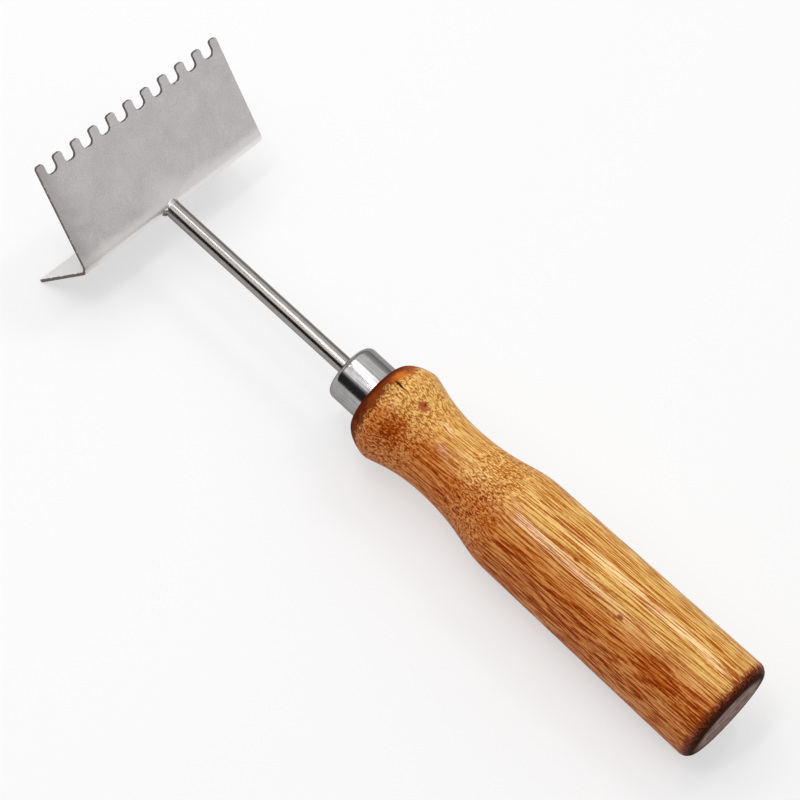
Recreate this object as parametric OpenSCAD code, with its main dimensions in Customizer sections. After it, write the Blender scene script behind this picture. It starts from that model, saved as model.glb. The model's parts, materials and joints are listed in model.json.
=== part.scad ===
// Queen excluder scraper: a folded, toothed stainless blade on a round rod,
// with a steel ferrule and a turned wooden handle. All sizes are in millimetres.
// The tool lies as it would on a bench, on the edge of its plain leg and on the
// rim of its butt, with the bench at z = 0 and the blade towards -X.

/* [Blade] */
// Width of the blade, along its fold
blade_w = 70; // [50:1:100]
// Thickness of the sheet
sheet_t = 1; // [0.8:0.1:1.5]
// Outside radius of the fold
fold_r = 3; // [2.6:0.1:4]
// Flat length of the toothed leg, from the fold to the tips of its teeth
toothed_leg = 31.5; // [24:0.5:45]
// Flat length of the plain leg, from the fold to its scraping edge
plain_leg = 23.5; // [20:0.5:35]
// Angle between the rod's line and the toothed leg
toothed_angle = 44; // [35:1:60]
// Angle between the rod's line and the plain leg
plain_angle = 56; // [45:1:65]
// How far the middle of the blade stands to the side of the rod
blade_shift = 1.2; // [0:0.1:5]

/* [Teeth] */
// Distance from one tooth to the next, the spacing of an excluder's wires
tooth_pitch = 6.75; // [6:0.05:7.5]
// Width of the notch between two teeth
notch_w = 3.75; // [3:0.05:4.2]
// Depth of a notch
notch_depth = 4.1; // [3:0.1:6]
// Radius in the two corners at the bottom of a notch
notch_round = 1.4; // [0.8:0.1:1.4]
// Radius on the corners of each tooth
tooth_round = 0.9; // [0.4:0.1:1.2]
// Least width of the tooth left at each end of the row
end_tooth = 2; // [1.6:0.1:3]

/* [Rod] */
// Diameter of the rod
rod_d = 5; // [4:0.1:5.5]
// Length of rod that shows between the blade and the ferrule
rod_free = 68.4; // [50:0.2:100]
// Length of rod hidden in the ferrule and the handle
tang_length = 70; // [40:1:90]
// Diameter of the round bead of weld metal at the rod's end
bead_d = 6.8; // [6.6:0.1:7.4]
// How far the middle of the bead lies behind the outermost line of the fold
bead_back = 1.1; // [0.9:0.1:1.3]

/* [Ferrule] */
// Outside diameter of the ferrule
ferrule_d = 17.2; // [16:0.1:18]
// Length of the ferrule
ferrule_length = 11.1; // [9:0.1:16]
// Wall thickness of the ferrule
ferrule_wall = 1; // [0.6:0.1:1.4]
// Radius on the front edge of the ferrule
ferrule_round = 2; // [1.5:0.1:2.5]

/* [Handle] */
// Length of the handle behind the ferrule
handle_length = 129; // [110:1:150]
// Diameter of the front face, against the ferrule
face_d = 19.2; // [18.6:0.1:20]
// Diameter over the front bulge
bulge_d = 29.4; // [26:0.1:32]
// Distance from the front face to the top of the bulge
bulge_at = 8.4; // [7:0.1:10]
// Diameter at the waist
waist_d = 23.2; // [20:0.1:25]
// Distance from the front face to the waist
waist_at = 27; // [24:0.5:32]
// Diameter where the body begins
body_d = 30.4; // [27:0.1:34]
// Distance from the front face to where the body begins
body_at = 54.5; // [50:0.5:62]
// Diameter of the body at the butt
butt_d = 32.2; // [28:0.1:36]
// Radius on the rim of the butt
butt_round = 3.2; // [2:0.1:5]

/* [Hidden] */
$fn = 96;

steel = [0.72, 0.71, 0.70];
bright_steel = [0.82, 0.82, 0.83];
weld_grey = [0.45, 0.44, 0.43];
varnished_wood = [0.80, 0.53, 0.28];

// How far a cut runs past the face that it opens
over = 1;
// Straight steps that make up the arc of the fold
arc_steps = 20;

// The angle at which the fold's arc leaves the toothed leg, and how far it turns
fold_start = 90 - toothed_angle;
fold_turn = 180 - toothed_angle - plain_angle;

// The way [x, z] that each leg runs from the fold
toothed_way = [-cos(toothed_angle), sin(toothed_angle)];
plain_way = [-cos(plain_angle), -sin(plain_angle)];

notch_count = floor((blade_w - 2 * end_tooth - notch_w) / tooth_pitch) + 1;
notch_row = (notch_count - 1) * tooth_pitch;

ferrule_x = rod_free;
handle_x = ferrule_x + ferrule_length;
butt_x = handle_x + handle_length;
tang_end = ferrule_x + tang_length;
tang_tip = 1.5;
bore_spare = 2;
tenon_d = ferrule_d - 2 * ferrule_wall;
tenon_front = ferrule_x + ferrule_wall;
tenon_bevel = 1.2;

// Outline of the turned handle: how far each curve leads on before it turns
curve_steps = 10;
nose_lead = 2.8;
bulge_lead = 2.2;
waist_lead = 11;
waist_exit_lead = 15;
body_lead = 9;

// The tool rests on the outer corner of the plain leg and on the rim of the butt.
// Both are given as [x, z] with the rod's line at z = 0.
plain_corner = fold_arc(fold_r)[arc_steps] + plain_leg * plain_way;
rim_centre = [butt_x - butt_round, butt_round - butt_d / 2];
rest_span = rim_centre - plain_corner;
rest_tilt = atan2(rest_span[1], rest_span[0]) - asin(butt_round / norm(rest_span));

// Corners that reach furthest forward and back once the tool lies tilted
tip_corner = fold_arc(fold_r - sheet_t)[0] + toothed_leg * toothed_way;
front_x = laid(tip_corner)[0];
back_x = laid([rim_centre[0], -rim_centre[1]])[0] + butt_round;
bench_z = laid(plain_corner)[1];

// A point [x, z] of the straight tool, turned to the angle at which it lies
function laid(p) = [p[0] * cos(rest_tilt) + p[1] * sin(rest_tilt),
                    p[1] * cos(rest_tilt) - p[0] * sin(rest_tilt)];

// A curve of the handle's outline from a to b, both [radius, distance], which
// leaves a along the lead from_a and comes to b along the lead to_b
function blend(a, from_a, to_b, b) =
    [for (i = [1 : curve_steps]) let (t = i / curve_steps, s = 1 - t)
        s * s * s * a + 3 * s * s * t * (a + from_a) + 3 * s * t * t * (b - to_b) + t * t * t * b];

// Points [x, z] round the fold, a distance r from its centre line, from where the
// toothed leg leaves it to where the plain leg does
function fold_arc(r) =
    [for (i = [0 : arc_steps]) let (a = fold_start - fold_turn * i / arc_steps)
        [-fold_r + r * cos(a), r * sin(a)]];

module lie_down() {
    translate([-(front_x + back_x) / 2, -blade_shift, -bench_z])
        rotate([0, rest_tilt, 0])
            children();
}

// A section drawn as [x, z], extruded to a width that is centred on the rod
module across(width) {
    rotate([90, 0, 0])
        linear_extrude(height = width, center = true)
            children();
}

// A shape drawn along +Z, turned so that it runs along the rod
module along_rod(from_x) {
    translate([from_x, 0, 0])
        rotate([0, 90, 0])
            children();
}

// The sheet seen end on: round the outside of the fold and back round its inside
module blade_section() {
    outer = fold_arc(fold_r);
    inner = fold_arc(fold_r - sheet_t);
    to_tips = toothed_leg * toothed_way;
    to_edge = plain_leg * plain_way;
    polygon(concat(
        [outer[0] + to_tips],
        outer,
        [outer[arc_steps] + to_edge, inner[arc_steps] + to_edge],
        [for (i = [arc_steps : -1 : 0]) inner[i]],
        [inner[0] + to_tips]
    ));
}

// Everything inside the outer face of the fold, to trim the rod and the weld
module inside_fold() {
    outer = fold_arc(fold_r);
    reach = 2 * bead_d;
    across(2 * bead_d)
        polygon(concat(
            [outer[0] + reach * toothed_way],
            outer,
            [outer[arc_steps] + reach * plain_way]
        ));
}

// One notch, seen square to the toothed leg, with the tips of the teeth at x = 0
module notch() {
    straight = notch_depth - notch_round;
    bottom_w = notch_w - 2 * notch_round;
    for (side = [-1, 1])
        translate([-straight, side * bottom_w / 2])
            circle(notch_round);
    translate([-notch_depth, -bottom_w / 2])
        square([notch_depth, bottom_w]);
    translate([-straight, -notch_w / 2])
        square([straight + over, notch_w]);
    for (side = [-1, 1])
        scale([1, side])
            translate([0, notch_w / 2])
                tooth_corner();
}

// What is taken off the corner of a tooth to round it. The middle of the round
// lies a little less than its radius in, so that its arc crosses the two flats.
module tooth_corner() {
    middle = 0.97 * tooth_round;
    difference() {
        translate([-middle, -over / 2])
            square([middle + over, middle + over / 2]);
        translate([-middle, middle])
            circle(tooth_round);
    }
}

module notches() {
    for (i = [0 : notch_count - 1])
        translate([0, i * tooth_pitch - notch_row / 2])
            notch();
    for (side = [-1, 1])
        scale([1, side])
            translate([0, -blade_w / 2])
                tooth_corner();
}

module blade() {
    color(steel)
        lie_down()
            translate([0, blade_shift, 0])
                difference() {
                    across(blade_w)
                        blade_section();
                    translate([-fold_r, 0, 0])
                        rotate([0, toothed_angle - 180, 0])
                            translate([toothed_leg, 0, -fold_r - over])
                                linear_extrude(height = sheet_t + 2 * over)
                                    notches();
                }
}

module weld_bead() {
    color(weld_grey)
        lie_down()
            difference() {
                along_rod(-bead_back)
                    sphere(d = bead_d);
                along_rod(-2 * fold_r)
                    cylinder(d = rod_d, h = 4 * fold_r);
                inside_fold();
            }
}

module rod() {
    color(bright_steel)
        lie_down()
            difference() {
                union() {
                    along_rod(-fold_r)
                        cylinder(d = rod_d, h = fold_r + tang_end - tang_tip);
                    along_rod(tang_end - tang_tip)
                        cylinder(d1 = rod_d, d2 = rod_d - 2 * tang_tip, h = tang_tip);
                }
                inside_fold();
            }
}

module ferrule() {
    edge = ferrule_d / 2 - ferrule_round;
    color(bright_steel)
        lie_down()
            along_rod(ferrule_x)
                difference() {
                    union() {
                        translate([0, 0, ferrule_round])
                            cylinder(d = ferrule_d, h = ferrule_length - ferrule_round);
                        cylinder(r = edge, h = 2 * ferrule_round);
                        rotate_extrude()
                            translate([edge, ferrule_round])
                                circle(ferrule_round);
                    }
                    translate([0, 0, ferrule_wall])
                        cylinder(d = tenon_d, h = ferrule_length);
                    translate([0, 0, -over])
                        cylinder(d = rod_d, h = ferrule_wall + 2 * over);
                }
}

// Half of the handle's outline as [radius, distance from its front face]
module handle_outline() {
    face = [face_d / 2, 0];
    bulge = [bulge_d / 2, bulge_at];
    waist = [waist_d / 2, waist_at];
    body = [body_d / 2, body_at];
    rim = [butt_d / 2, handle_length - butt_round];
    polygon(concat(
        [[0, 0], face],
        blend(face, [nose_lead, 0], [0, nose_lead], bulge),
        blend(bulge, [0, bulge_lead], [0, waist_lead], waist),
        blend(waist, [0, waist_exit_lead], [0, body_lead], body),
        [for (a = [0 : 15 : 90]) rim + butt_round * [cos(a) - 1, sin(a)]],
        [[0, handle_length]]
    ));
}

module handle() {
    color(varnished_wood)
        lie_down()
            difference() {
                union() {
                    along_rod(handle_x)
                        rotate_extrude()
                            handle_outline();
                    along_rod(tenon_front + tenon_bevel)
                        cylinder(d = tenon_d, h = handle_x - tenon_front);
                    along_rod(tenon_front)
                        cylinder(d1 = tenon_d - 2 * tenon_bevel, d2 = tenon_d, h = tenon_bevel);
                }
                along_rod(tenon_front - over)
                    cylinder(d = rod_d, h = tang_end + bore_spare - tenon_front + over);
            }
}

blade();
weld_bead();
rod();
ferrule();
handle();
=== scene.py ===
# %% [markdown]
# # A queen excluder scraper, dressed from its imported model
# A beekeeper's hand scraper: a folded sheet of stainless steel with a comb along
# one edge, welded across the end of a round rod, and a turned, varnished handle
# with a steel ferrule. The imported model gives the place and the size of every
# part. This script makes each visible piece afresh, with finer edges and real
# finishes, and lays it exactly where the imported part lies.

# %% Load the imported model
import json
import math
import bpy
from mathutils import Matrix, Vector


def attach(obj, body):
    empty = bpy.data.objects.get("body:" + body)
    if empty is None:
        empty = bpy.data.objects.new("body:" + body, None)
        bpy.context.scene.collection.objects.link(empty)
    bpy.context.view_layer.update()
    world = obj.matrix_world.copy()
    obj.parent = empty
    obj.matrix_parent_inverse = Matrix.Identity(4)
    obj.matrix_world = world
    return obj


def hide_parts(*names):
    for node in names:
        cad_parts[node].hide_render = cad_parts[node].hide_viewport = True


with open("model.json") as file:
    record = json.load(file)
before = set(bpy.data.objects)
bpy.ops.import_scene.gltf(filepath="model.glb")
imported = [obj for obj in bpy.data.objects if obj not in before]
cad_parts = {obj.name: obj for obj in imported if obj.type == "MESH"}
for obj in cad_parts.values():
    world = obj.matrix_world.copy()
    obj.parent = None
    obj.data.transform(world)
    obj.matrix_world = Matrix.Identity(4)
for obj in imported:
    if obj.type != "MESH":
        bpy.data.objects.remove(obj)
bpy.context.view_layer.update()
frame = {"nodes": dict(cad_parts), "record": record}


def in_mm(corners):
    return [[round(1000 * v, 2) for v in corner] for corner in corners]


print("packed nodes:", sorted(frame["nodes"]))

# %% [markdown]
# ## The tool's own line
# The tool lies on its plain leg and the rim of its butt, so its rod slopes a
# little. It is far easier to make pieces along a straight line and to lay them
# down afterwards. The butt's mount in the record gives a point on that line and
# its direction. Along the line, x runs from the outermost line of the fold, and
# every length below is in millimetres unless its name says otherwise.

# %% Find the tool's line
MM = 0.001
tool_length = 208.5
butt = next(mount for mount in frame["record"]["mounts"] if mount["name"] == "butt")
tilt = math.atan2(-butt["axis"][2], butt["axis"][0])
tool_start = Vector(butt["pos_m"]) - tool_length * MM * Vector(butt["axis"])
print("line starts, in mm, at", in_mm([tool_start])[0])
print("line falls", round(math.degrees(tilt), 2), "degrees towards the butt")

# %% [markdown]
# A few helpers serve every piece. One starts a piece as a single vertex, which
# is how a drawn outline begins, one draws on from there, a straight step at a
# time, and one swings what is selected round a centre. The spin tool turns the
# left-handed way, hence its minus. The others lay a finished piece down on the
# bench, with its place in its mesh, and say what was made.

# %% Helpers for drawing, laying down and reporting
def metres(values):
    return [v * MM for v in values]


def start_outline(name, x, y, z):
    bpy.ops.object.select_all(action="DESELECT")
    bpy.ops.mesh.primitive_plane_add(size=MM)
    piece = bpy.context.object
    piece.name = name
    piece.data.name = name
    bpy.ops.object.mode_set(mode="EDIT")
    bpy.ops.mesh.merge(type="CENTER")
    bpy.ops.transform.translate(value=metres((x, y, z)))
    return piece


def draw_on(steps):
    for step in steps:
        bpy.ops.mesh.extrude_region_move(TRANSFORM_OT_translate={"value": metres(step)})


def swing(centre, axis, degrees, steps):
    bpy.ops.mesh.spin(steps=steps, angle=-math.radians(degrees), center=metres(centre), axis=axis)


def apply_modifiers(piece):
    bpy.context.view_layer.objects.active = piece
    for modifier in list(piece.modifiers):
        bpy.ops.object.modifier_apply(modifier=modifier.name)


def report(piece):
    corners = [[f(v.co[i] for v in piece.data.vertices) for i in range(3)] for f in (min, max)]
    print(piece.name, "has", len(piece.data.polygons), "faces, corners in mm", in_mm(corners))


def lay_down(piece):
    bpy.ops.object.select_all(action="DESELECT")
    piece.select_set(True)
    bpy.context.view_layer.objects.active = piece
    piece.rotation_euler = (0, tilt, 0)
    piece.location = tool_start
    bpy.ops.object.transform_apply(location=True, rotation=True, scale=True)
    report(piece)

# %% [markdown]
# ## The blade's blank
# The real blade starts as a flat strip of 1 mm stainless sheet, with a row of
# notches punched along one edge, each with two rounded corners at its bottom.
# The same is done here: the outline is drawn point by point, and every round is
# one vertex spun about the centre of that round. The flat leg lies with its
# outer face up, with the fold line at x = 0 and the tips of the teeth at -x. A
# boolean cut would give the same shape with a messier mesh.

# %% Sizes of the blade
blade_w = 70
sheet_t = 1
fold_r = 3
toothed_leg = 31.5
plain_leg = 23.5
toothed_angle = 44
plain_angle = 56
blade_shift = 1.2
tooth_pitch = 6.75
tooth_round = 0.9
tooth_steps = 6
notch_count = 10
notch_w = 3.75
notch_depth = 4.1
notch_round = 1.4
notch_steps = 9
print("the comb has", notch_count + 1, "teeth at a pitch of", tooth_pitch, "mm")

# %% Draw the comb's outline
corner_x = tooth_round - toothed_leg
bottom_x = notch_depth - notch_round - toothed_leg
bottom_w = notch_w - 2 * notch_round


def round_tooth(centre_y):
    swing((corner_x, centre_y, 0), (0, 0, 1), -90, tooth_steps)


def round_bottom(centre_y):
    swing((bottom_x, centre_y, 0), (0, 0, 1), 90, notch_steps)


blade = start_outline("blade_sheet", 0, -blade_w / 2, 0)
draw_on([(corner_x, 0, 0)])
here = -blade_w / 2 + tooth_round
round_tooth(here)
for i in range(notch_count):
    middle = (i - (notch_count - 1) / 2) * tooth_pitch
    side = notch_w / 2 + tooth_round
    draw_on([(0, middle - side - here, 0)])
    round_tooth(middle - side)
    draw_on([(bottom_x - corner_x, 0, 0)])
    round_bottom(middle - bottom_w / 2)
    draw_on([(0, bottom_w, 0)])
    round_bottom(middle + bottom_w / 2)
    draw_on([(corner_x - bottom_x, 0, 0)])
    round_tooth(middle + side)
    here = middle + side
draw_on([(0, blade_w / 2 - tooth_round - here, 0)])
round_tooth(blade_w / 2 - tooth_round)
draw_on([(-corner_x, 0, 0)])
bpy.ops.mesh.select_all(action="SELECT")
bpy.ops.mesh.edge_face_add()
bpy.ops.object.mode_set(mode="OBJECT")
print("the blank has", len(blade.data.vertices), "points round its outline")

# %% [markdown]
# ## Folding the blade
# The strip is folded over a round former until its two legs stand 100 degrees
# apart. Spinning the fold line about the former's centre gives the round, and
# one extrusion gives the plain leg.

# %% Fold the sheet
fold_turn = 180 - toothed_angle - plain_angle
fold_steps = 28
near_fold_line = -0.01
for vertex in blade.data.vertices:
    vertex.select = vertex.co.x > near_fold_line * MM
for edge in blade.data.edges:
    edge.select = all(blade.data.vertices[v].select for v in edge.vertices)
blade.data.polygons[0].select = False
bpy.ops.object.mode_set(mode="EDIT")
swing((0, 0, -fold_r), (0, 1, 0), fold_turn, fold_steps)
along_leg = math.radians(fold_turn)
draw_on([(plain_leg * math.cos(along_leg), 0, -plain_leg * math.sin(along_leg))])
bpy.ops.mesh.select_all(action="SELECT")
bpy.ops.mesh.normals_make_consistent(inside=False)
bpy.ops.object.mode_set(mode="OBJECT")
comb_face = max(blade.data.polygons, key=lambda face: face.area)
if comb_face.normal.z < 0:
    blade.data.flip_normals()
print("the fold turns", fold_turn, "degrees in", fold_steps, "steps")

# %% [markdown]
# Solidify now adds the sheet's thickness on the inner side, and a fine bevel
# breaks every edge, as tumbling does after the punching. Cut walls and broken
# edges get materials of their own, because a punched wall is dark and a broken
# edge has bright rubs. The blade is then leaned to its angle and laid down.

# %% Thicken the sheet, break its edges and lay it down
broken_w = 0.12
smooth_below = math.radians(18)
sheet = blade.modifiers.new("sheet", "SOLIDIFY")
sheet.thickness = sheet_t * MM
sheet.offset = -1
sheet.use_even_offset = True
sheet.material_offset_rim = 1
broken_edge = blade.modifiers.new("broken_edge", "BEVEL")
broken_edge.width = broken_w * MM
broken_edge.segments = 2
broken_edge.limit_method = "ANGLE"
broken_edge.angle_limit = math.radians(60)
broken_edge.material = 2
for finish in ("blade_face", "blade_cut", "blade_edge"):
    blade.data.materials.append(bpy.data.materials.new(finish))
apply_modifiers(blade)
bpy.ops.object.shade_smooth_by_angle(angle=smooth_below)

lean = math.radians(toothed_angle)
blade.rotation_euler = (0, lean, 0)
blade.location = Vector((fold_r * math.sin(lean) - fold_r, blade_shift, fold_r * math.cos(lean))) * MM
bpy.ops.object.transform_apply(location=True, rotation=True, scale=True)
lay_down(blade)

# %% [markdown]
# ## The weld
# The rod is welded square on to the outside of the fold. What shows is a slim
# fillet where the two melted together, fuller on one side, where the weld
# ended. It is made in the same way: a stub of the rod, a stub of the fold and
# two drops of filler are joined, remeshed into one skin and smoothed until the
# corner between them fills. A small shake of the points, always the same one,
# gives the skin its lumps. The stubs lie a few hundredths of a millimetre under
# the real surfaces, so only the fillet stands out.

# %% A wedge with the fold's shape
upper = math.radians(toothed_angle)
lower = math.radians(plain_angle)
toothed_way = Vector((-math.cos(upper), 0, math.sin(upper)))
plain_way = Vector((-math.cos(lower), 0, -math.sin(lower)))


def fold_wedge(name, radius, reach, width):
    leg_start = Vector((radius * math.sin(upper) - fold_r, -width / 2, radius * math.cos(upper)))
    wedge = start_outline(name, *(leg_start + reach * toothed_way))
    draw_on([-reach * toothed_way])
    swing((-fold_r, 0, 0), (0, 1, 0), fold_turn, fold_steps)
    draw_on([reach * plain_way])
    bpy.ops.mesh.select_all(action="SELECT")
    bpy.ops.mesh.edge_face_add()
    draw_on([(0, width, 0)])
    bpy.ops.mesh.select_all(action="SELECT")
    bpy.ops.mesh.normals_make_consistent(inside=False)
    print(name, "is", width, "mm wide")
    return wedge

# %% Melt the stubs together
rod_r = 2.5
sunk = 0.03
stub_reach = 5
stub_w = 11
stub_length = 6
drops = ((0.75, (0.1, -2.75, -0.3)), (0.6, (-0.1, -2.6, 0.9)))
across_line = (0, math.pi / 2, 0)
bead = fold_wedge("weld_ring", fold_r - sunk, stub_reach, stub_w)
bpy.ops.mesh.primitive_cylinder_add(vertices=72, radius=(rod_r - sunk) * MM, depth=stub_length * MM,
                                    rotation=across_line)
for drop_r, centre in drops:
    bpy.ops.mesh.primitive_uv_sphere_add(segments=24, ring_count=16, radius=drop_r * MM,
                                         location=metres(centre))
bpy.ops.object.mode_set(mode="OBJECT")
skin = bead.modifiers.new("skin", "REMESH")
skin.mode = "VOXEL"
skin.voxel_size = 0.13 * MM
melt = bead.modifiers.new("melt", "SMOOTH")
melt.factor = 0.5
melt.iterations = 14
apply_modifiers(bead)
bpy.ops.object.mode_set(mode="EDIT")
bpy.ops.mesh.select_all(action="SELECT")
bpy.ops.transform.vertex_random(offset=0.04 * MM, seed=7)
bpy.ops.mesh.vertices_smooth(factor=0.5, repeat=4)
bpy.ops.object.mode_set(mode="OBJECT")
print("the melted stubs have", len(bead.data.polygons), "faces")

# %% [markdown]
# Two booleans then take away all that lies deeper than 0.35 mm in the sheet and
# all that is more than 4 mm from the line. What is left is the fillet, on a root
# that stays hidden in the sheet and the rod. The Manifold solver is quick, and
# both cutters are closed, as it needs.

# %% Cut the fillet free
core_depth = 0.35
core_size = 16
keep_r = 4
keep_length = 5
core = fold_wedge("fold_core", fold_r - core_depth, core_size, core_size)
bpy.ops.object.mode_set(mode="OBJECT")
bpy.ops.object.select_all(action="DESELECT")
bpy.ops.mesh.primitive_cylinder_add(vertices=72, radius=keep_r * MM, depth=keep_length * MM,
                                    rotation=across_line, location=metres((-1, 0, 0)))
keep = bpy.context.object
for operation, tool in (("DIFFERENCE", core), ("INTERSECT", keep)):
    cut = bead.modifiers.new(operation, "BOOLEAN")
    cut.operation = operation
    cut.solver = "MANIFOLD"
    cut.object = tool
apply_modifiers(bead)
bpy.data.objects.remove(core)
bpy.data.objects.remove(keep)
bead.data.materials.clear()
bead.data.materials.append(bpy.data.materials.new("weld_metal"))
bpy.ops.object.select_all(action="DESELECT")
bead.select_set(True)
bpy.ops.object.shade_smooth_by_angle(angle=math.radians(40))
lay_down(bead)

# %% [markdown]
# ## Turned pieces
# The rod, the ferrule and the handle are all round about the tool's line, and a
# lathe makes them in the real world. Spinning a drawn outline once round the
# line is the same step. An outline is a list of [distance along the line,
# radius] in millimetres. Corners carry a tiny bevel, drawn into the outline.
# Where the outline starts and ends on the line, the doubles there are merged.

# %% A lathe for round pieces
merge_gap = 0.002


def turn(name, outline, steps, finish):
    piece = start_outline(name, outline[0][0], 0, outline[0][1])
    draw_on([(b[0] - a[0], 0, b[1] - a[1]) for a, b in zip(outline, outline[1:])])
    bpy.ops.mesh.select_all(action="SELECT")
    swing((0, 0, 0), (1, 0, 0), 360, steps)
    bpy.ops.mesh.select_all(action="SELECT")
    bpy.ops.mesh.remove_doubles(threshold=merge_gap * MM)
    bpy.ops.mesh.normals_make_consistent(inside=False)
    bpy.ops.object.mode_set(mode="OBJECT")
    bpy.ops.object.shade_smooth_by_angle(angle=math.radians(35))
    piece.data.materials.append(bpy.data.materials.new(finish))
    lay_down(piece)
    return piece

# %% [markdown]
# ## The rod
# A length of bright drawn 5 mm stainless bar. Its front end sinks into the weld
# and its tang runs 70 mm into the ferrule and the handle, with a blunt tip. It
# could be a plain cylinder, but the lathe gives the tip in the same go.

# %% Turn the rod
ferrule_x = 68.4
handle_x = 79.5
rod_front = -0.9
tang_end = ferrule_x + 70
tip_length = 1.5
tip_r = 1
outline = [(rod_front, 0), (rod_front, rod_r), (tang_end - tip_length, rod_r)]
outline += [(tang_end, tip_r), (tang_end, 0)]
rod = turn("rod_bar", outline, 96, "rod_bright")

# %% [markdown]
# ## The ferrule
# A cap drawn from sheet: a rounded front edge, a hole for the rod and an open
# back that slips over the handle's tenon. It stops the wood from splitting. The
# outline runs from the hole over the outside to the back, and home along the
# inside, so the lathe gives both sides of the real 1 mm wall in one pass.

# %% Turn the ferrule
cap_r = 8.6
cap_wall = 1
cap_round = 2
hole_r = rod_r + 0.12
hole_bevel = 0.2
rear_bevel = 0.15
inner_bevel = 0.1
round_steps = 14
outline = [(ferrule_x + hole_bevel, hole_r), (ferrule_x, hole_r + hole_bevel)]
for i in range(round_steps + 1):
    turned = math.radians(90 * i / round_steps)
    outline.append((ferrule_x + cap_round - cap_round * math.cos(turned),
                    cap_r - cap_round + cap_round * math.sin(turned)))
outline += [(handle_x - rear_bevel, cap_r), (handle_x, cap_r - rear_bevel)]
outline += [(handle_x, cap_r - cap_wall + inner_bevel), (handle_x - inner_bevel, cap_r - cap_wall)]
outline += [(ferrule_x + cap_wall, cap_r - cap_wall), (ferrule_x + cap_wall, hole_r), outline[0]]
ferrule = turn("ferrule_cap", outline, 128, "ferrule_polished")

# %% [markdown]
# ## The handle
# A turned handle: a round nose, a bulge that keeps the hand off the ferrule, a
# slim waist for thumb and finger, and a long body that thickens slowly to a
# flat, rounded butt. Each stretch is one smooth curve between two stations,
# with leads that say how straight it leaves and arrives, as with a drawn
# spline. A tenon reaches into the ferrule and a blind bore takes the tang.

# %% A smooth curve between two stations
def curve(a, from_a, to_b, b, steps):
    a, from_a, to_b, b = (Vector(v) for v in (a, from_a, to_b, b))
    points = []
    for i in range(1, steps + 1):
        t = i / steps
        s = 1 - t
        points.append(tuple(s**3 * a + 3 * s * s * t * (a + from_a) + 3 * s * t * t * (b - to_b) + t**3 * b))
    return points


rim_round = 3.2
flat_r = 12.9
face = (handle_x, 9.6)
bulge = (handle_x + 8.4, 14.7)
waist = (handle_x + 27, 11.6)
body = (handle_x + 54.5, 15.2)
rim = (tool_length - rim_round, flat_r + rim_round)
print("bulge", 2 * bulge[1], "waist", 2 * waist[1], "rim", 2 * rim[1], "mm thick")

# %% Turn the handle
tenon_r = cap_r - 1.05
tenon_front = handle_x - 10
outline = [(tang_end + 2, 0), (tang_end + 2, rod_r), (tenon_front, rod_r), (tenon_front, tenon_r - 1.15)]
outline += [(tenon_front + 1.1, tenon_r), (handle_x, tenon_r), face]
outline += curve(face, (0, 2.8), (2.8, 0), bulge, 22)
outline += curve(bulge, (2.2, 0), (11, 0), waist, 30)
outline += curve(waist, (15, 0), (9, 0), body, 36)
outline += curve(body, (24, 0.28), (24, 0.3), rim, 24)
for degrees in range(6, 96, 6):
    turned = math.radians(degrees)
    outline.append((tool_length - rim_round * (1 - math.sin(turned)), flat_r + rim_round * math.cos(turned)))
outline += [(tool_length, 8), (tool_length, 4), (tool_length, 0)]
handle = turn("handle_turned", outline, 144, "varnished_wood")

# %% [markdown]
# ## Nodes and places
# Every finish is made of shader nodes. One helper adds a node and links or sets
# its inputs, and the rest are short names for the nodes that are used most. A
# Mapping node turns Object coordinates, which are the same for every piece,
# into millimetres along the tool: x runs down the rod and the handle, and y and
# z run across, so grain and drawing lines can follow the tool. A scanned texture
# could be wrapped round each piece instead, but noise measured in millimetres
# stays sharp at any distance, needs no unwrapping and runs through the piece.

# %% Helpers for shader nodes
def add(tree, kind, values=None, **settings):
    made = tree.nodes.new(kind)
    for name, value in settings.items():
        setattr(made, name, value)
    for name, value in (values or {}).items():
        if isinstance(value, bpy.types.NodeSocket):
            tree.links.new(value, made.inputs[name])
        else:
            made.inputs[name].default_value = value
    return made


def maths(tree, operation, a, b=0.0):
    return add(tree, "ShaderNodeMath", {0: a, 1: b}, operation=operation).outputs[0]


def weigh(tree, *parts):
    total = 0.0
    for value, weight in parts:
        total = maths(tree, "ADD", total, maths(tree, "MULTIPLY", value, weight))
    return total


def span(tree, value, low, high, to_low=0.0, to_high=1.0, smooth=False):
    kind = "SMOOTHSTEP" if smooth else "LINEAR"
    values = {"Value": value, "From Min": low, "From Max": high, "To Min": to_low, "To Max": to_high}
    return add(tree, "ShaderNodeMapRange", values, interpolation_type=kind).outputs["Result"]


def mix_colours(tree, share, a, b, blend="MIX"):
    return add(tree, "ShaderNodeMix", {0: share, 6: a, 7: b}, data_type="RGBA", blend_type=blend).outputs[2]


def vector_maths(tree, operation, a, b):
    return add(tree, "ShaderNodeVectorMath", {0: a, 1: b}, operation=operation).outputs[0]


def length_of(tree, vector):
    return add(tree, "ShaderNodeVectorMath", {0: vector}, operation="LENGTH").outputs["Value"]


def parts_of(tree, vector):
    return add(tree, "ShaderNodeSeparateXYZ", {0: vector}).outputs


def noise(tree, vector, detail, **values):
    values = {"Vector": vector, "Scale": 1.0, "Detail": detail, **values}
    return add(tree, "ShaderNodeTexNoise", values).outputs

# %% [markdown]
# Three more helpers open a material for its finish, give it a bump and close it.
# A bump gets its height from the same pattern as the colour, so pits and pores
# are dark where they are deep. Metallic is a plain number on the shader, except
# on the blade's faces, where it changes from place to place.

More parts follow.
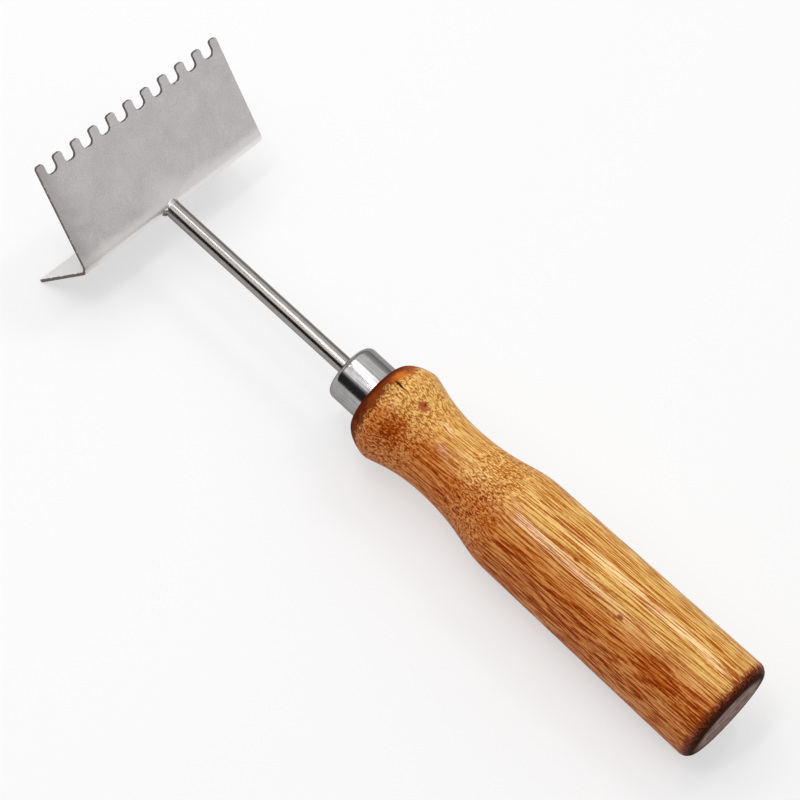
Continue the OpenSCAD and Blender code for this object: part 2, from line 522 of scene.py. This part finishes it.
# %% Helpers that open and close a finish
def open_finish(name):
    material = bpy.data.materials[name]
    material.use_nodes = True
    tree = material.node_tree
    tree.nodes.clear()
    shader = add(tree, "ShaderNodeBsdfPrincipled")
    add(tree, "ShaderNodeOutputMaterial", {"Surface": shader.outputs[0]})
    here = add(tree, "ShaderNodeTexCoord").outputs["Object"]
    laid = {"Vector": here, "Location": tool_start, "Rotation": (0, tilt, 0), "Scale": (MM, MM, MM)}
    place = add(tree, "ShaderNodeMapping", laid, vector_type="TEXTURE").outputs[0]
    return tree, shader, place


def emboss(tree, shader, pattern, strength, depth):
    bump = add(tree, "ShaderNodeBump", {"Height": pattern, "Strength": strength, "Distance": depth * MM})
    tree.links.new(bump.outputs[0], shader.inputs["Normal"])


def close_finish(tree, shader, name, colour, roughness, metallic=1.0):
    tree.links.new(colour, shader.inputs["Base Color"])
    tree.links.new(roughness, shader.inputs["Roughness"])
    shader.inputs["Metallic"].default_value = metallic
    print(name, "is made of", len(tree.nodes), "nodes")

# %% [markdown]
# Some effects come back in several finishes, so each is a node group. Long grain
# is noise stretched along the tool, for drawing lines in bright bar, wood fibre
# and pores. Its Wander lets the lines drift, as grain does.

# %% A group for long grain
def start_group(name, output, **inputs):
    group = bpy.data.node_groups.new(name, "ShaderNodeTree")
    for title, value in inputs.items():
        kind = "NodeSocketVector" if value is None else "NodeSocketFloat"
        socket = group.interface.new_socket(title, in_out="INPUT", socket_type=kind)
        if value is not None:
            socket.default_value = value
    group.interface.new_socket(output, in_out="OUTPUT", socket_type="NodeSocketFloat")
    return group, add(group, "NodeGroupInput").outputs, add(group, "NodeGroupOutput").inputs[output]


def place_group(tree, group, **values):
    return add(tree, "ShaderNodeGroup", values, node_tree=group).outputs[0]


long_grain, given, result = start_group("long_grain", "Lines", Place=None, Width=1.0, Length=30.0,
                                        Wander=0.5, Detail=3.0)
slow = vector_maths(long_grain, "MULTIPLY", given["Place"], (0.02, 0.06, 0.06))
drift = noise(long_grain, slow, detail=1.0)["Color"]
drift = vector_maths(long_grain, "SUBTRACT", drift, (0.5, 0.5, 0.5))
drift = add(long_grain, "ShaderNodeVectorMath", {0: drift, "Scale": given["Wander"]}, operation="SCALE")
moved = vector_maths(long_grain, "ADD", given["Place"], drift.outputs[0])
size = add(long_grain, "ShaderNodeCombineXYZ", {0: given["Length"], 1: given["Width"], 2: given["Width"]})
scaled = vector_maths(long_grain, "DIVIDE", moved, size.outputs[0])
lines = noise(long_grain, scaled, detail=given["Detail"], Roughness=0.68)["Fac"]
long_grain.links.new(span(long_grain, lines, 0.31, 0.69), result)
print("long_grain takes", [socket.name for socket in given if socket.name])

# %% [markdown]
# Mottle is even, cloudy noise for blasted sheet, weld skin and tone in wood. A
# third group makes one spot of a given centre and size, with a ragged edge, for
# a knot, a stain or a crack.

# %% Groups for mottle and spots
mottle, given, result = start_group("mottle", "Patches", Place=None, Size=1.0)
size = add(mottle, "ShaderNodeCombineXYZ", {0: given["Size"], 1: given["Size"], 2: given["Size"]})
scaled = vector_maths(mottle, "DIVIDE", given["Place"], size.outputs[0])
patches = noise(mottle, scaled, detail=3.0, Roughness=0.6)["Fac"]
mottle.links.new(span(mottle, patches, 0.3, 0.7), result)
print("mottle takes", [socket.name for socket in given if socket.name])

spot, given, result = start_group("spot", "Mask", Place=None, Centre=None, Size=None, Ragged=0.3)
away = vector_maths(spot, "SUBTRACT", given["Place"], given["Centre"])
away = length_of(spot, vector_maths(spot, "DIVIDE", away, given["Size"]))
edge = noise(spot, given["Place"], detail=3.0)["Fac"]
edge = maths(spot, "MULTIPLY", maths(spot, "SUBTRACT", edge, 0.5), given["Ragged"])
spot.links.new(span(spot, maths(spot, "ADD", away, edge), 1.0, 0.4, smooth=True), result)
print("spot takes", [socket.name for socket in given if socket.name])

# %% [markdown]
# ## Blasted sheet
# The blade's faces are finely blasted stainless: grey, soft in its reflections,
# with a speckle of about half a millimetre and faint clouds where the blasting
# was uneven. Along the fold runs a pale band with a wavy border, which widens to
# a pale patch round the rod. It is partly steel that was rubbed down with the
# weld where the fold stretched its surface, and partly a painted highlight of
# the bend.

# %% Blast the sheet and paint the rubbed, lit band along its fold
blasted_dark = (0.68, 0.65, 0.65, 1)
blasted_pale = (0.76, 0.73, 0.73, 1)
# Pale steel for the fold's band: rubbed, with the bend's highlight painted in
rubbed_and_lit_steel = (0.86, 0.84, 0.825, 1)
pit_shade = (0.80, 0.79, 0.80, 1)
no_shade = (1.0, 1.0, 1.0, 1)
band_full = -1.2
band_end = -3.6
patch_full = 3.0
patch_end = 13.0
tree, shader, place = open_finish("blade_face")
grit = place_group(tree, mottle, Place=place, Size=0.42)
clouds = place_group(tree, mottle, Place=place, Size=7.0)
waves = place_group(tree, mottle, Place=place, Size=12.0)
where = parts_of(tree, place)
off_fold = maths(tree, "ADD", where["X"], span(tree, waves, 0.0, 1.0, -0.9, 0.9))
# The band along the fold is partly rubbed steel and partly a painted highlight of the bend
rubbed_and_lit_band = span(tree, off_fold, band_end, band_full, smooth=True)
round_rod = span(tree, length_of(tree, place), patch_end, patch_full, 0.0, 0.8, smooth=True)
pale_zone = maths(tree, "MAXIMUM", rubbed_and_lit_band, round_rod)
steel = mix_colours(tree, clouds, blasted_dark, blasted_pale)
steel = mix_colours(tree, pale_zone, steel, rubbed_and_lit_steel)
speckle = mix_colours(tree, grit, pit_shade, no_shade)
steel = mix_colours(tree, span(tree, pale_zone, 0.0, 1.0, 1.0, 0.45), steel, speckle, blend="MULTIPLY")
print("the pale band ends", -band_end, "mm from the fold's line, the patch", patch_end, "mm from the rod")

# %% [markdown]
# Three more things mark the sheet. Its end on the -y side is painted darker.
# The weld left a small brown heat stain beside the rod, and a mask by the way
# the surface faces keeps it on the outer side, because a solid pattern would
# show on both sides of so thin a sheet. The inner face of the plain leg is
# painted pale, as painted light, and is only partly metallic.

# %% Darken the -y end, add the heat stain and paint light on the plain leg
# The sheet is painted greyer towards its end on the -y side
darker_end_grey = (0.22, 0.19, 0.185, 1)
heat_brown = (0.10, 0.07, 0.055, 1)
# Pale paint on the plain leg's inner face, standing in for light on it
lit_leg_steel = (0.79, 0.77, 0.765, 1)
darkening_full_at = -35.0
darkening_gone_at = -24.0
across = maths(tree, "ADD", where["Y"], span(tree, clouds, 0.0, 1.0, -1.5, 1.5))
not_darkened = span(tree, across, darkening_full_at, darkening_gone_at, smooth=True)
steel = mix_colours(tree, span(tree, not_darkened, 0.0, 1.0, 0.34, 0.0), steel, darker_end_grey)
facing = parts_of(tree, add(tree, "ShaderNodeNewGeometry").outputs["Normal"])["X"]
burnt = place_group(tree, spot, Place=place, Centre=(-0.8, -3.4, -1.5), Size=(1.6, 1.5, 1.5), Ragged=0.6)
burnt = maths(tree, "MULTIPLY", burnt, span(tree, facing, -0.1, 0.1))
steel = mix_colours(tree, burnt, steel, heat_brown)
lit_leg_face = maths(tree, "MULTIPLY", span(tree, facing, -0.2, -0.5), span(tree, where["Z"], -1.5, -3.0))
steel = mix_colours(tree, lit_leg_face, steel, lit_leg_steel)
emboss(tree, shader, grit, strength=0.4, depth=0.02)
close_finish(tree, shader, "blade_face", steel, span(tree, grit, 0.0, 1.0, 0.36, 0.46))
tree.links.new(span(tree, lit_leg_face, 0.0, 1.0, 1.0, 0.35), shader.inputs["Metallic"])

# %% [markdown]
# ## Cut walls and broken edges
# A punched or sheared wall is torn rather than polished, and dirt and heat
# colour stay in it, so it is dark brown and dull. The broken edges have dulled
# with it, apart from short bright rubs.

# %% Finish the blade's cut walls and edges
torn_dark = (0.055, 0.034, 0.031, 1)
torn_pale = (0.25, 0.19, 0.175, 1)
dulled_edge = (0.20, 0.17, 0.165, 1)
bright_rub = (0.78, 0.77, 0.75, 1)
tree, shader, place = open_finish("blade_cut")
torn = place_group(tree, mottle, Place=place, Size=0.35)
wall = mix_colours(tree, torn, torn_dark, torn_pale)
close_finish(tree, shader, "blade_cut", wall, span(tree, torn, 0.0, 1.0, 0.42, 0.6))

tree, shader, place = open_finish("blade_edge")
wear_and_highlight = place_group(tree, mottle, Place=place, Size=1.6)
rubs = mix_colours(tree, span(tree, wear_and_highlight, 0.62, 0.8, smooth=True), dulled_edge, bright_rub)
close_finish(tree, shader, "blade_edge", rubs, span(tree, wear_and_highlight, 0.0, 1.0, 0.4, 0.24))

# %% [markdown]
# ## Weld metal
# The fillet's upper side is painted pale, partly as metal ground with the sheet,
# like the band along the fold, and partly as painted light. Lower down its lumpy
# skin is painted dark brown, heat colour with painted shade, and a small
# near-black spot beside the rod on the far side is painted shade in a nick.

# %% Finish the weld
skin_dark_shaded = (0.07, 0.05, 0.043, 1)
skin_pale_shaded = (0.33, 0.305, 0.29, 1)
ground_and_lit_steel = (0.58, 0.565, 0.55, 1)
nick_shade_black = (0.035, 0.02, 0.015, 1)
tree, shader, place = open_finish("weld_metal")
lumps = place_group(tree, mottle, Place=place, Size=0.9)
# Paler higher up: painted light on top, painted shade lower down
ground_and_lit_top = span(tree, maths(tree, "ADD", parts_of(tree, place)["Z"], lumps), 1.2, 2.4, smooth=True)
weld = mix_colours(tree, lumps, skin_dark_shaded, skin_pale_shaded)
weld = mix_colours(tree, ground_and_lit_top, weld, ground_and_lit_steel)
# A near-black spot painted as the shade in a small nick
nick_shade = place_group(tree, spot, Place=place, Centre=(-1.1, 2.3, 1.4), Size=(0.7, 0.5, 0.9), Ragged=0.3)
weld = mix_colours(tree, nick_shade, weld, nick_shade_black)
emboss(tree, shader, lumps, strength=0.5, depth=0.03)
close_finish(tree, shader, "weld_metal", weld, span(tree, lumps, 0.0, 1.0, 0.52, 0.4))

# %% [markdown]
# ## Bright bar and polished cap
# Drawn bar keeps fine lines along its length, which smear a reflection a little
# across them. The polished cap has lines of the same kind, a little coarser and
# shorter. Both use long grain, with their own widths, for colour, roughness and
# a very shallow bump. Where the rod leaves the weld, it was rubbed pale and dull
# together with it.

# %% Finish the rod and the ferrule
rubbed_bar = (0.42, 0.41, 0.40, 1)
bright_tint = (0.6, 0.58, 0.56, 1)


def finish_bright(name, width, length, dark, light, smooth, rough, depth):
    tree, shader, place = open_finish(name)
    drawn = place_group(tree, long_grain, Place=place, Width=width, Length=length, Wander=0.2)
    smears = place_group(tree, mottle, Place=place, Size=2.6)
    tone = maths(tree, "ADD", maths(tree, "MULTIPLY", drawn, 0.7), maths(tree, "MULTIPLY", smears, 0.3))
    from_fold = maths(tree, "SUBTRACT", parts_of(tree, place)["X"], smears)
    pale_zone = span(tree, from_fold, 0.1, -0.7, smooth=True)
    metal = mix_colours(tree, pale_zone, mix_colours(tree, tone, dark, light), rubbed_bar)
    sheen = span(tree, tone, 0.0, 1.0, rough, smooth)
    shader.inputs["Specular Tint"].default_value = bright_tint
    emboss(tree, shader, drawn, strength=0.4, depth=depth)
    close_finish(tree, shader, name, metal, maths(tree, "ADD", sheen, maths(tree, "MULTIPLY", pale_zone, 0.3)))


finish_bright("rod_bright", width=0.22, length=30.0, dark=(0.235, 0.215, 0.20, 1),
              light=(0.385, 0.363, 0.35, 1), smooth=0.12, rough=0.22, depth=0.004)
finish_bright("ferrule_polished", width=0.28, length=14.0, dark=(0.24, 0.23, 0.228, 1),
              light=(0.46, 0.448, 0.448, 1), smooth=0.11, rough=0.24, depth=0.006)

# %% [markdown]
# ## Varnished wood
# The handle is a golden, coarse-pored hardwood under gloss varnish. Its look
# comes from a solid pattern, so that the turned surface cuts it as a lathe cuts
# wood. Where the surface runs along the grain, dark lines, fibres and short
# pores show as streaks, from a third of a millimetre to a few millimetres wide.
# All of them are long grain, with different widths and lengths, leaned a couple
# of degrees off the handle's line, since no blank is sawn quite true.

# %% Draw the streaks
grain_lean = (0, 0.025, -0.043)
tree, shader, place = open_finish("varnished_wood")
along = add(tree, "ShaderNodeMapping", {"Vector": place, "Rotation": grain_lean}).outputs[0]
bands = place_group(tree, long_grain, Place=along, Width=4.5, Length=90.0, Wander=1.5, Detail=2.0)
fibres = place_group(tree, long_grain, Place=along, Width=0.7, Length=24.0, Wander=1.5, Detail=1.5)
lines = place_group(tree, long_grain, Place=along, Width=0.33, Length=12.0, Wander=1.5, Detail=0.6)
lines = span(tree, lines, 0.22, 0.78, smooth=True)
pores = place_group(tree, long_grain, Place=along, Width=0.3, Length=1.3, Wander=0.5, Detail=1.0)
streaked = weigh(tree, (lines, 0.50), (pores, 0.24), (fibres, 0.09), (bands, 0.17))
print("the grain leans, in degrees,", [round(math.degrees(turned), 1) for turned in grain_lean])

# %% [markdown]
# On the slopes of the bulge and the waist the same fibres are cut short and
# show as curly flecks. The slope is how far the surface faces along the handle,
# and it says how much of the flecks to mix in. They end before the straight
# body, where they would spoil the long streaks.

# %% Draw the flecks and mix them in
body_from = 124.0
body_whole = 136.0
short = add(tree, "ShaderNodeMapping", {"Vector": along, "Scale": (0.95, 2.75, 2.75)}).outputs[0]
flecks = noise(tree, short, detail=2.0, Roughness=0.6, Distortion=0.6)["Fac"]
flecks = span(tree, flecks, 0.44, 0.56, smooth=True)
normal = add(tree, "ShaderNodeNewGeometry").outputs["Normal"]
cosine = add(tree, "ShaderNodeVectorMath", {0: normal, 1: butt["axis"]}, operation="DOT_PRODUCT")
slope = maths(tree, "ABSOLUTE", cosine.outputs["Value"])
where = parts_of(tree, place)
curly = span(tree, slope, 0.02, 0.16, 0.15, 0.75)
curly = maths(tree, "MULTIPLY", curly, span(tree, where["X"], body_whole, body_from))
straight = maths(tree, "SUBTRACT", 1.0, curly)
flecked = weigh(tree, (flecks, 0.74), (lines, 0.12), (pores, 0.08), (bands, 0.06))
tone = maths(tree, "MULTIPLY", streaked, straight)
tone = maths(tree, "ADD", tone, maths(tree, "MULTIPLY", flecked, curly))
print("the flecks fade out between", body_from, "and", body_whole, "mm")

# %% [markdown]
# Four broad, ragged patches are painted in a darker tone: on the bulge, on the
# flare behind the waist and near the butt. A place on the handle is given as a
# distance along the tool, a radius and an angle round it, and each patch has its
# size in millimetres and how much it takes off the tone.

# %% Darken a few patches
def on_handle(x, radius, degrees):
    turned = math.radians(degrees)
    return (x, radius * math.cos(turned), radius * math.sin(turned))


dark_patches = (
    # centre, size, how much darker
    (on_handle(91.8, 13.6, 137), (4.6, 7, 7), 0.24),
    (on_handle(190, 15.8, 138), (11, 4, 4), 0.2),
    (on_handle(202, 15, 152), (8, 4, 4), 0.16),
    (on_handle(124, 11, 84), (6, 16, 9), 0.13),
)
for centre, size, darker in dark_patches:
    patch = place_group(tree, spot, Place=place, Centre=centre, Size=size, Ragged=1.2)
    tone = maths(tree, "SUBTRACT", tone, maths(tree, "MULTIPLY", patch, darker))
print("darkened", len(dark_patches), "patches")

# %% [markdown]
# Colour comes from the tone: a ground colour in the middle, pale straw above it
# and a deep red brown in the pores below. Across the handle all three colours
# shift, with clouds in the border, from a redder, darker heart on the low side
# towards the camera to a paler, yellower sapwood on the high far side. The shift
# is partly the wood's own and partly painted light, the side that faces up to
# the lamps being painted paler.

# %% Colour the wood
# Darker heart colours for the low near side, paler sap colours for the lit top: partly painted light
heart_and_shade_ground = (0.535, 0.136, 0.018, 1)
heart_and_shade_pale = (0.71, 0.295, 0.077, 1)
heart_and_shade_deep = (0.25, 0.024, 0.0015, 1)
sap_and_light_ground = (0.67, 0.316, 0.072, 1)
sap_and_light_pale = (0.83, 0.545, 0.18, 1)
sap_and_light_deep = (0.37, 0.08, 0.004, 1)
middle_tone = 0.5
pale_tone = 0.74
deep_tone = 0.20
clouds = place_group(tree, mottle, Place=place, Size=14.0)
to_bark_and_light = weigh(tree, (where["Y"], 0.866), (where["Z"], 0.5), (clouds, 5.0))
sap_and_light = span(tree, to_bark_and_light, -2.5, 8.0, smooth=True)
ground = mix_colours(tree, sap_and_light, heart_and_shade_ground, sap_and_light_ground)
pale = mix_colours(tree, sap_and_light, heart_and_shade_pale, sap_and_light_pale)
deep = mix_colours(tree, sap_and_light, heart_and_shade_deep, sap_and_light_deep)
wood = mix_colours(tree, span(tree, tone, middle_tone, pale_tone), ground, pale)
wood = mix_colours(tree, span(tree, tone, middle_tone, deep_tone), wood, deep)
print("tones from", deep_tone, "to", pale_tone, "run from deep to pale")

# %% [markdown]
# ## Stained ends
# End grain drinks stain, so the nose and the butt, which face along the tool,
# are a dark red brown. On the nose the stain starts where the surface has
# turned far enough from the grain, and it wicks a little way along dark fibres,
# which the tone adds to its border. It is darkest at the front rim, and towards
# the -y side it is painted darker as painted shade. Near the top sits a painted
# orange highlight.

# %% Stain the nose and paint its shade and highlight
nose_dark_stain_and_shade = (0.045, 0.003, 0.0006, 1)
nose_pale = (0.42, 0.09, 0.015, 1)
nose_highlight = (0.55, 0.16, 0.024, 1)
nose_rim = (0.10, 0.012, 0.003, 1)
nose_full = 87.0
nose_end = 90.0
blotches = place_group(tree, mottle, Place=place, Size=3.0)
drinks = weigh(tree, (slope, 1.0), (blotches, 0.2), (tone, -0.16))
before_bulge = span(tree, where["X"], nose_end, nose_full)
at_nose = maths(tree, "MULTIPLY", span(tree, drinks, 0.26, 0.46, smooth=True), before_bulge)
# Darker towards -y: painted shade on the nose's low side
stain_and_shade = weigh(tree, (blotches, 0.5), (span(tree, where["Y"], -11.0, 3.0), 0.5))
nose = mix_colours(tree, stain_and_shade, nose_dark_stain_and_shade, nose_pale)
# A painted orange highlight near the top of the nose
highlight_place = on_handle(83.2, 12.8, 83)
wear_and_highlight = place_group(tree, spot, Place=place, Centre=highlight_place, Size=(2.0, 3.2, 3.0), Ragged=1.2)
nose = mix_colours(tree, wear_and_highlight, nose, nose_highlight)
nose = mix_colours(tree, span(tree, where["X"], 82.2, 80.2, smooth=True), nose, nose_rim)
print("the nose's stain ends between", nose_full, "and", nose_end, "mm, and the bulge is at", bulge[0])

# %% [markdown]
# At the butt the stain has crept a few millimetres forward along the fibres, as
# a red brown fringe with a ragged edge. The rounded rim is nearly black, stain
# with a painted dark reflection on it. The flat face inside it is painted a
# paler, streaky grey brown, a painted reflection on the end grain.

# %% Stain the butt and paint its reflections
# Rim colours: stain with a painted dark reflection
rim_stain_and_shade_dark = (0.012, 0.003, 0.002, 1)
rim_stain_and_shade_pale = (0.055, 0.014, 0.006, 1)
# Face colours: a painted, paler reflection on the end grain
face_reflection_dark = (0.17, 0.09, 0.075, 1)
face_reflection_pale = (0.34, 0.235, 0.21, 1)
fringe = (0.25, 0.045, 0.008, 1)
fringe_from = 203.2
fringe_full = 205.4
rim_from = 205.2
rim_full = 207.0
to_butt = weigh(tree, (where["X"], 1.0), (blotches, 0.8), (tone, -2.4))
browned = span(tree, to_butt, fringe_from, fringe_full, smooth=True)
at_butt = span(tree, to_butt, rim_from, rim_full, smooth=True)
crosswise = add(tree, "ShaderNodeCombineXYZ", {1: where["Y"], 2: where["Z"]}).outputs[0]
off_middle = weigh(tree, (length_of(tree, crosswise), 1.0), (blotches, 1.6))
butt_rim_stain_and_shade = mix_colours(tree, blotches, rim_stain_and_shade_dark, rim_stain_and_shade_pale)
face_reflection_streaks = weigh(tree, (flecks, 0.3), (span(tree, blotches, 0.3, 0.7, smooth=True), 0.7))
face_reflection = mix_colours(tree, face_reflection_streaks, face_reflection_dark, face_reflection_pale)
butt_end = mix_colours(tree, span(tree, off_middle, 14.4, 11.6), butt_rim_stain_and_shade, face_reflection)
stain = mix_colours(tree, span(tree, where["X"], 120.0, 160.0), nose, butt_end)
end_grain = maths(tree, "MAXIMUM", at_nose, at_butt)
wood = mix_colours(tree, browned, wood, fringe)
wood = mix_colours(tree, end_grain, wood, stain)
print("the butt's fringe starts about", round(tool_length - fringe_from, 1), "mm from its face")

# %% [markdown]
# Small faults make the wood believable: a pin knot on top of the bulge, in two
# layers, red round a dark eye, two little brown marks on the body, and a fine
# drying crack in the nose. The crack is three long, thin spots in a row, each a
# little further round the handle, so it bends as a split does.

# %% Add the knot, the marks and the crack
marks = (
    # centre, size, raggedness, colour
    (on_handle(94, 14.2, 92), (2.9, 2.3, 3.0), 2.4, (0.42, 0.11, 0.03, 1)),
    (on_handle(94.3, 14.2, 91), (1.8, 1.2, 1.8), 2.2, (0.20, 0.03, 0.009, 1)),
    (on_handle(153, 15.3, 108), (1.5, 0.7, 1.2), 1.2, (0.33, 0.07, 0.014, 1)),
    (on_handle(172, 15.6, 121), (1.5, 0.7, 1.2), 1.2, (0.30, 0.06, 0.012, 1)),
)
for centre, size, ragged, colour in marks:
    mark = place_group(tree, spot, Place=place, Centre=centre, Size=size, Ragged=ragged)
    wood = mix_colours(tree, mark, wood, colour)

splits = (on_handle(84.4, 13.75, 94.0), on_handle(85.3, 14.05, 94.9), on_handle(86.3, 14.3, 95.9))
crack_black = (0.012, 0.003, 0.002, 1)
crack = 0.0
for centre in splits:
    split = place_group(tree, spot, Place=place, Centre=centre, Size=(1.7, 0.29, 1.6), Ragged=0.1)
    crack = maths(tree, "MAXIMUM", crack, split)
wood = mix_colours(tree, crack, wood, crack_black)
print("drew", len(marks), "marks and a crack of", len(splits), "splits")

# %% [markdown]
# The varnish is the shader's coat. It has sunk into the dark pores, so the
# gloss is weaker there, and on end grain and in the crack it has mostly soaked
# away. The wood under it has no gloss of its own, and the tone gives it a shallow
# bump. The coat itself is level, so a reflection on it is broken into fine
# streaks only by the weaker gloss over the pores.

# %% Varnish the wood
coat_roughness = 0.15
bare = maths(tree, "MAXIMUM", end_grain, crack)
gloss = maths(tree, "MULTIPLY", span(tree, tone, 0.3, 0.65, 0.08, 0.38), span(tree, bare, 0.0, 1.0, 1.0, 0.2))
tree.links.new(gloss, shader.inputs["Coat Weight"])
shader.inputs["Coat Roughness"].default_value = coat_roughness
shader.inputs["Specular IOR Level"].default_value = 0.0
emboss(tree, shader, tone, strength=0.3, depth=0.03)
close_finish(tree, shader, "varnished_wood", wood, span(tree, tone, 0.0, 1.0, 0.5, 0.4), metallic=0.0)

# %% [markdown]
# ## Bodies and slots
# Nothing on this tool moves, so every piece rides on the one body. Each piece
# stands for its imported part, which is hidden.

# %% Ride and replace the imported parts
stand_ins = ((blade, "blade"), (bead, "weld_bead"), (rod, "rod"), (ferrule, "ferrule"), (handle, "handle"))
for piece, node in stand_ins:
    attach(piece, "root")
    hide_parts(node)
    print(piece.name, "stands for", node)

# %% [markdown]
# ## Bench, light and camera
# A plain pale bench, soft light and a long lens, as for a catalogue. The bench
# is white paper: where it is looked at, directly or in a reflection, part of
# its light is a glow of its own, so it looks white without more light on the
# tool, and it still takes the tool's shadow.

# %% Lay the bench
bench_size = 8
bench_white = (0.85, 0.85, 0.85, 1)
glow_share = 0.55
bpy.ops.object.select_all(action="DESELECT")
bpy.ops.mesh.primitive_plane_add(size=bench_size)
bench = bpy.context.object
bench.name = "bench"
bench.data.materials.append(bpy.data.materials.new("bench_paint"))
tree, shader, place = open_finish("bench_paint")
shader.inputs["Base Color"].default_value = bench_white
shader.inputs["Roughness"].default_value = 0.9
shader.inputs["Specular IOR Level"].default_value = 0.1
glow = add(tree, "ShaderNodeEmission", {"Color": (1, 1, 1, 1), "Strength": 1.0}).outputs[0]
ray = add(tree, "ShaderNodeLightPath").outputs
seen = maths(tree, "MAXIMUM", ray["Is Camera Ray"], ray["Is Glossy Ray"])
seen = maths(tree, "MAXIMUM", seen, ray["Is Transmission Ray"])
share = maths(tree, "MULTIPLY", seen, glow_share)
paper = add(tree, "ShaderNodeMixShader", {0: share, 1: shader.outputs[0], 2: glow}).outputs[0]
output = next(node for node in tree.nodes if node.bl_idname == "ShaderNodeOutputMaterial")
tree.links.new(paper, output.inputs["Surface"])
print("the bench is", bench_size, "m square")

# %% [markdown]
# Polished steel and varnish show what stands round them, so the lamps are soft
# boxes of chosen sizes, laid in a half ring over the tool. Each is given by its
# two ends along the tool, its angle round the ring, from the far side (0) over
# the top (90) to the camera's side (180), and how wide it looks from the tool.
# The camera stands towards the butt, so the rod mirrors what hangs beyond the
# blade, and that is where its three boxes are: one overhead gives the rod its
# white line, a weaker one on the camera's side its second line, and a wide,
# faint one lifts the far side. The other four serve the handle: one on the far
# side gives the streak of gloss on the rear half of the body, a small one gives
# the streak on its front half, and the last two carry that one on over the
# slope down to the waist.

# %% Hang the soft boxes
box_distance = 1.02
soft_boxes = (
    # name, from and to in metres, angle and opening in degrees, brightness
    ("long_box", -0.90, -0.226, 86.5, 19, 3.0),
    ("near_side_box", -0.90, -0.226, 127, 17, 1.25),
    ("wide_box", -0.90, -0.226, 54, 38, 0.6),
    ("far_side_box", -0.112, 0.0, 60, 16, 12.5),
    ("small_box", -0.184, -0.102, 110.5, 18, 22),
    ("bridge_box", -0.28, -0.184, 100, 11, 7),
    ("flare_box", -0.66, -0.42, 109.5, 5, 9),
)


def hang_soft_box(name, from_x, to_x, ring_angle, opening, brightness):
    turned = math.radians(ring_angle)
    out = Vector((0, math.cos(turned), math.sin(turned)))
    across = out.cross(Vector((1, 0, 0)))
    lamp = bpy.data.lights.new(name, "AREA")
    lamp.shape = "RECTANGLE"
    lamp.size = to_x - from_x
    lamp.size_y = 2 * box_distance * math.tan(math.radians(opening / 2))
    lamp.energy = brightness * math.pi * lamp.size * lamp.size_y
    holder = bpy.data.objects.new(name, lamp)
    bpy.context.scene.collection.objects.link(holder)
    holder.location = box_distance * out + Vector(((from_x + to_x) / 2, 0, 0))
    holder.rotation_euler = Matrix(((1, 0, 0), across, out)).transposed().to_euler()
    print(name, "has", round(lamp.energy, 2), "watts")


for soft_box in soft_boxes:
    hang_soft_box(*soft_box)

# %% [markdown]
# A dark card stands on the camera's side, hidden from the camera itself. It
# gives the black line that makes polished steel look like steel, and it keeps
# stray light off the near side of the handle.

# %% Stand the dark card on the camera's side
card_width = 3.0
card_height = 0.84
card_black = (0.015, 0.015, 0.016, 1)
bpy.ops.object.select_all(action="DESELECT")
bpy.ops.mesh.primitive_plane_add(size=1, location=(0, -1.1, card_height / 2), rotation=(math.pi / 2, 0, 0))
card = bpy.context.object
card.name = "dark_card"
card.scale = (card_width, card_height, 1)
bpy.ops.object.transform_apply(location=True, rotation=True, scale=True)
card.data.materials.append(bpy.data.materials.new("black_card"))
tree, shader, place = open_finish("black_card")
shader.inputs["Base Color"].default_value = card_black
shader.inputs["Roughness"].default_value = 0.9
card.visible_camera = False
print("the card stands", card_height, "m high")

# %% [markdown]
# The room round all this is pale and soft, brighter higher up, and a wide, low
# window stands beyond the butt. The window lights the butt's face and the
# blade, which look along the tool and get little from the ring of lamps.

# %% Set the surroundings
room_low = 0.33
room_high = 0.60
window_light = 0.74
world = bpy.data.worlds.new("studio")
bpy.context.scene.world = world
world.use_nodes = True
tree = world.node_tree
tree.nodes.clear()
way = parts_of(tree, add(tree, "ShaderNodeTexCoord").outputs["Generated"])
room = span(tree, way["Z"], 0.1, 0.5, room_low, room_high, smooth=True)
window = maths(tree, "MULTIPLY", span(tree, way["X"], 0.25, 0.6, smooth=True),
               span(tree, way["Z"], 0.75, 0.35, smooth=True))
more = maths(tree, "MULTIPLY", window, maths(tree, "SUBTRACT", window_light, room))
walls = add(tree, "ShaderNodeBackground", {"Color": (1, 1, 1, 1), "Strength": maths(tree, "ADD", room, more)})
add(tree, "ShaderNodeOutputWorld", {"Surface": walls.outputs[0]})
print("the room's light runs from", room_low, "to", room_high, "and the window's is", window_light)

# %% [markdown]
# The camera looks down on the tool from the handle's side, with a long lens from
# about a metre away, and it is rolled so that the tool crosses the frame from
# corner to corner. Colours are shown plainly, with the Standard view.

# %% Place the camera
azimuth = math.radians(26.70)
elevation = math.radians(56.27)
roll = math.radians(18.95)
camera_distance = 1.0177
aim = Vector((-0.01375, 0.0138, 0))
level = math.cos(elevation)
back = Vector((math.sin(azimuth) * level, -math.cos(azimuth) * level, math.sin(elevation)))
camera_data = bpy.data.cameras.new("camera")
camera = bpy.data.objects.new("camera", camera_data)
bpy.context.scene.collection.objects.link(camera)
camera.location = aim + camera_distance * back
camera.rotation_euler = (-back).to_track_quat("-Z", "Y").to_euler()
camera.rotation_euler.rotate_axis("Z", roll)
camera_data.sensor_width = 36
camera_data.lens = 164.4
bpy.context.scene.camera = camera
bpy.context.scene.view_settings.view_transform = "Standard"
print("camera at", [round(v, 3) for v in camera.location])
